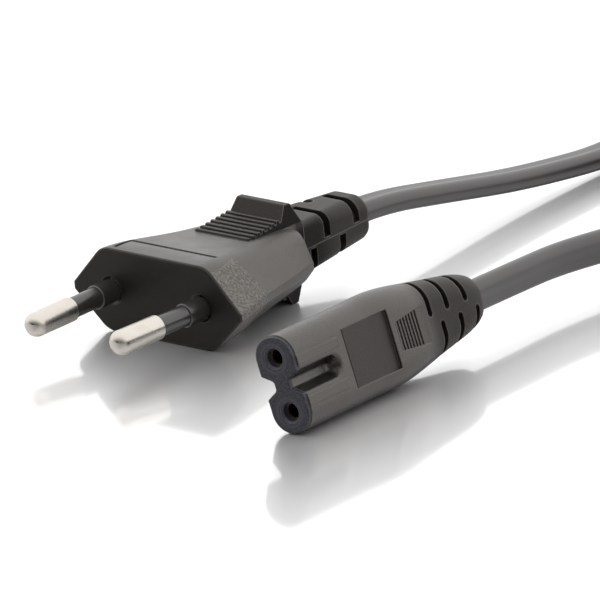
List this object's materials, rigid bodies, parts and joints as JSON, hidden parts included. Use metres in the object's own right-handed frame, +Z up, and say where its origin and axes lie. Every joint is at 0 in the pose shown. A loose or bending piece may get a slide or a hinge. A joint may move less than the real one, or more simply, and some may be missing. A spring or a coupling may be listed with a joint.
{
  "type": "figure eight power connector",
  "caption": "Mains lead with a black figure-eight appliance connector and a flat two-pin plug, on a flat twin cord wound into a tied coil.",
  "frame": {"origin": "centre of the footprint of the connector's bounding box, on the floor", "axes": "+X out of the connector's contact face, +Z up, +Y to the side away from the plug"},
  "size_m": [0.2284, 0.0999, 0.0166],
  "materials": {
    "black_pvc": "satin moulded flexible PVC",
    "insert_plastic": "smooth hard moulding",
    "plated_contact": "nickel-plated drawn tube",
    "bare_copper": "bare stranded copper",
    "core_brown": "smooth core insulation",
    "core_blue": "smooth core insulation",
    "cord_pvc": "smooth extruded PVC sheath",
    "tie_strap": "woven strap",
    "plated_pin": "bright nickel plating on brass",
    "sleeve_plastic": "smooth moulded sleeve"
  },
  "bodies": {
    "root": {"connector_body": "black_pvc", "contact_insert": "insert_plastic", "contact_upper": "plated_contact", "contact_lower": "plated_contact", "strands_connector_upper": "bare_copper", "strands_connector_lower": "bare_copper", "core_connector_upper": "core_brown", "core_connector_lower": "core_blue", "cord_connector_run": "cord_pvc", "cord_coil": "cord_pvc", "coil_tie": "tie_strap", "cord_plug_run": "cord_pvc", "plug_body": "black_pvc", "pin_bridge": "insert_plastic", "pin_left": "plated_pin", "pin_right": "plated_pin", "pin_sleeve_left": "sleeve_plastic", "pin_sleeve_right": "sleeve_plastic", "strands_plug_left": "bare_copper", "strands_plug_right": "bare_copper", "core_plug_left": "core_brown", "core_plug_right": "core_blue"}
  },
  "joints": []
}
